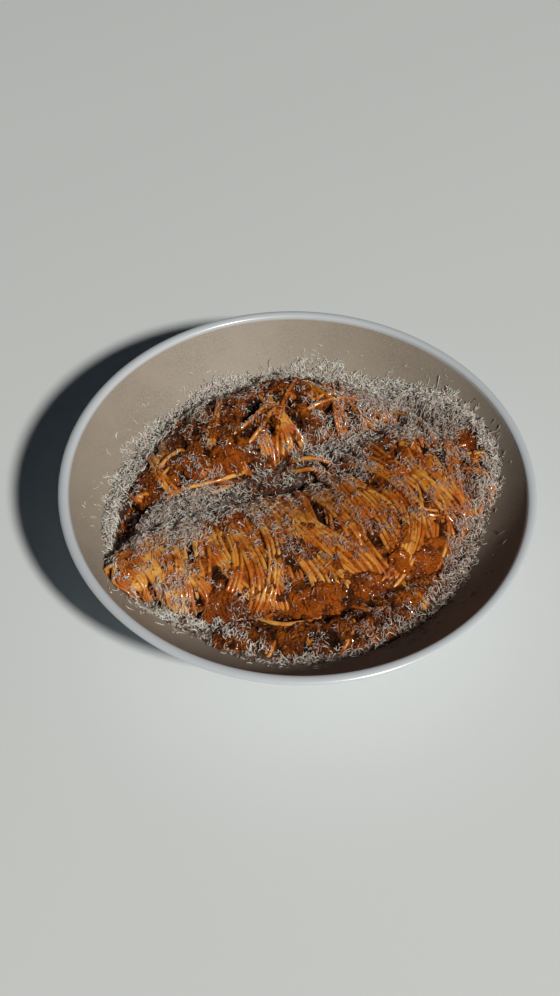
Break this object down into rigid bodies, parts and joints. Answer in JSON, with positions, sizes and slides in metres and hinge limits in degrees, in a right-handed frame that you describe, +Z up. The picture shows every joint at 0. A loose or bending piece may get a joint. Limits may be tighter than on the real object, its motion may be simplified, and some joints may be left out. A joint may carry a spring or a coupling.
{
  "type": "bowl of chorizo tomato pasta",
  "caption": "Shallow stoneware bowl holding wound nests of spaghetti in thick meat and tomato sauce, with chorizo pieces and a wide scatter of finely grated cheese.",
  "frame": {"origin": "centre of the bowl's foot ring, on the surface it stands on", "axes": "+Z up; +Y from the front roll of pasta towards the back nest; +X to the right seen from the front"},
  "size_m": [0.2232, 0.2232, 0.052],
  "materials": {
    "bowl": "satin",
    "pasta": "satin",
    "chorizo": "satin",
    "sauce": "gloss",
    "cheese": "matte"
  },
  "bodies": {
    "root": {"bowl": "bowl", "front_roll": "pasta", "back_nest": "pasta", "front_tangle": "pasta", "right_tangle": "pasta", "chorizo_slice_front_left": "chorizo", "chorizo_lump_roll_top": "chorizo", "chorizo_lump_back_left": "chorizo", "chorizo_lump_back_right": "chorizo", "chorizo_slice_right": "chorizo", "chorizo_lump_right": "chorizo", "chorizo_piece_left": "chorizo", "chorizo_slice_upper_right": "chorizo", "chorizo_lump_upper_right": "chorizo", "chorizo_lump_far_right": "chorizo", "chorizo_slice_front": "chorizo", "chorizo_lump_front_right": "chorizo", "sauce_bed": "sauce", "cheese_ring": "cheese", "cheese_trough": "cheese"}
  },
  "joints": []
}
